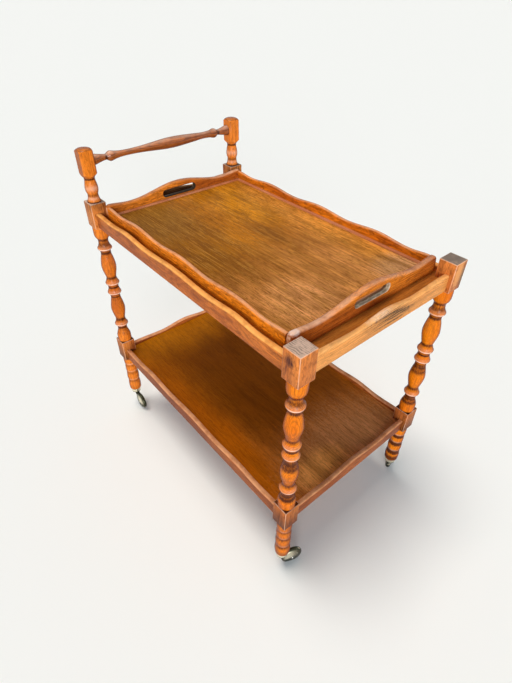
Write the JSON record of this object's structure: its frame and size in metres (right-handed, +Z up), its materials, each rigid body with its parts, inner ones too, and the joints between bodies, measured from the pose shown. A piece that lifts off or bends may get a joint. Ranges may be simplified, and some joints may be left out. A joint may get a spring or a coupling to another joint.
{
  "type": "serving cart",
  "caption": "Two-tier wooden serving cart with turned legs, a turned push handle, a lift-off tray with hand slots, and hooded brass swivel casters.",
  "frame": {"origin": "on the floor under the middle of the frame, midway between the four legs", "axes": "+X from the push handle to the front end, +Y to the pusher's left, +Z up"},
  "size_m": [0.7316, 0.4762, 0.8026],
  "materials": {
    "turned_wood": "orange-brown gloss varnish",
    "bar_wood": "dark reddish-brown gloss varnish",
    "rail_wood": "worn orange-brown varnish",
    "panel_veneer": "varnished golden-brown veneer",
    "tray_wood": "orange-brown gloss varnish",
    "aged_brass": "aged, softly polished",
    "dark_brass": "dark patina"
  },
  "bodies": {
    "frame": {"front_right_leg": "turned_wood", "front_left_leg": "turned_wood", "rear_right_post": "turned_wood", "rear_left_post": "turned_wood", "handle_bar": "bar_wood", "upper_right_rail": "rail_wood", "upper_left_rail": "rail_wood", "upper_rear_rail": "rail_wood", "upper_front_rail": "rail_wood", "upper_shelf": "panel_veneer", "upper_right_cleat": "panel_veneer", "upper_left_cleat": "panel_veneer", "lower_right_rail": "rail_wood", "lower_left_rail": "rail_wood", "lower_rear_rail": "rail_wood", "lower_front_rail": "rail_wood", "lower_shelf": "panel_veneer", "lower_right_cleat": "panel_veneer", "lower_left_cleat": "panel_veneer", "front_right_caster_socket": "aged_brass", "front_left_caster_socket": "aged_brass", "rear_right_caster_socket": "aged_brass", "rear_left_caster_socket": "aged_brass"},
    "tray": {"tray_front_end": "tray_wood", "tray_rear_end": "tray_wood", "tray_right_side": "tray_wood", "tray_left_side": "tray_wood", "tray_right_bead": "tray_wood", "tray_left_bead": "tray_wood", "tray_rear_bead": "tray_wood", "tray_front_bead": "tray_wood", "tray_base": "panel_veneer"},
    "front_right_swivel": {"front_right_caster_fork": "aged_brass", "front_right_caster_axle": "dark_brass"},
    "front_right_wheel": {"front_right_caster_wheel": "dark_brass"},
    "front_left_swivel": {"front_left_caster_fork": "aged_brass", "front_left_caster_axle": "dark_brass"},
    "front_left_wheel": {"front_left_caster_wheel": "dark_brass"},
    "rear_right_swivel": {"rear_right_caster_fork": "aged_brass", "rear_right_caster_axle": "dark_brass"},
    "rear_right_wheel": {"rear_right_caster_wheel": "dark_brass"},
    "rear_left_swivel": {"rear_left_caster_fork": "aged_brass", "rear_left_caster_axle": "dark_brass"},
    "rear_left_wheel": {"rear_left_caster_wheel": "dark_brass"}
  },
  "joints": [
    {"name": "tray_lift", "type": "slide", "parent": "frame", "child": "tray", "axis": [0, 0, 1], "range_m": [0, 0.17]},
    {"name": "front_right_swivel_turn", "type": "hinge", "parent": "frame", "child": "front_right_swivel", "pos_m": [0.34575, -0.20465, 0.048], "axis": [0, 0, 1], "continuous": true},
    {"name": "front_right_wheel_spin", "type": "hinge", "parent": "front_right_swivel", "child": "front_right_wheel", "pos_m": [0.35394, -0.17945, 0.0242], "axis": [-0.9511, 0.309, 0], "continuous": true},
    {"name": "front_left_swivel_turn", "type": "hinge", "parent": "frame", "child": "front_left_swivel", "pos_m": [0.34575, 0.20465, 0.048], "axis": [0, 0, 1], "continuous": true},
    {"name": "front_left_wheel_spin", "type": "hinge", "parent": "front_left_swivel", "child": "front_left_wheel", "pos_m": [0.33372, 0.22826, 0.0242], "axis": [-0.891, -0.454, 0], "continuous": true},
    {"name": "rear_right_swivel_turn", "type": "hinge", "parent": "frame", "child": "rear_right_swivel", "pos_m": [-0.34575, -0.20465, 0.048], "axis": [0, 0, 1], "continuous": true},
    {"name": "rear_right_wheel_spin", "type": "hinge", "parent": "rear_right_swivel", "child": "rear_right_wheel", "pos_m": [-0.31927, -0.20557, 0.0242], "axis": [0.0349, 0.9994, 0], "continuous": true},
    {"name": "rear_left_swivel_turn", "type": "hinge", "parent": "frame", "child": "rear_left_swivel", "pos_m": [-0.34575, 0.20465, 0.048], "axis": [0, 0, 1], "continuous": true},
    {"name": "rear_left_wheel_spin", "type": "hinge", "parent": "rear_left_swivel", "child": "rear_left_wheel", "pos_m": [-0.32545, 0.18762, 0.0242], "axis": [0.6428, 0.766, 0], "continuous": true}
  ]
}
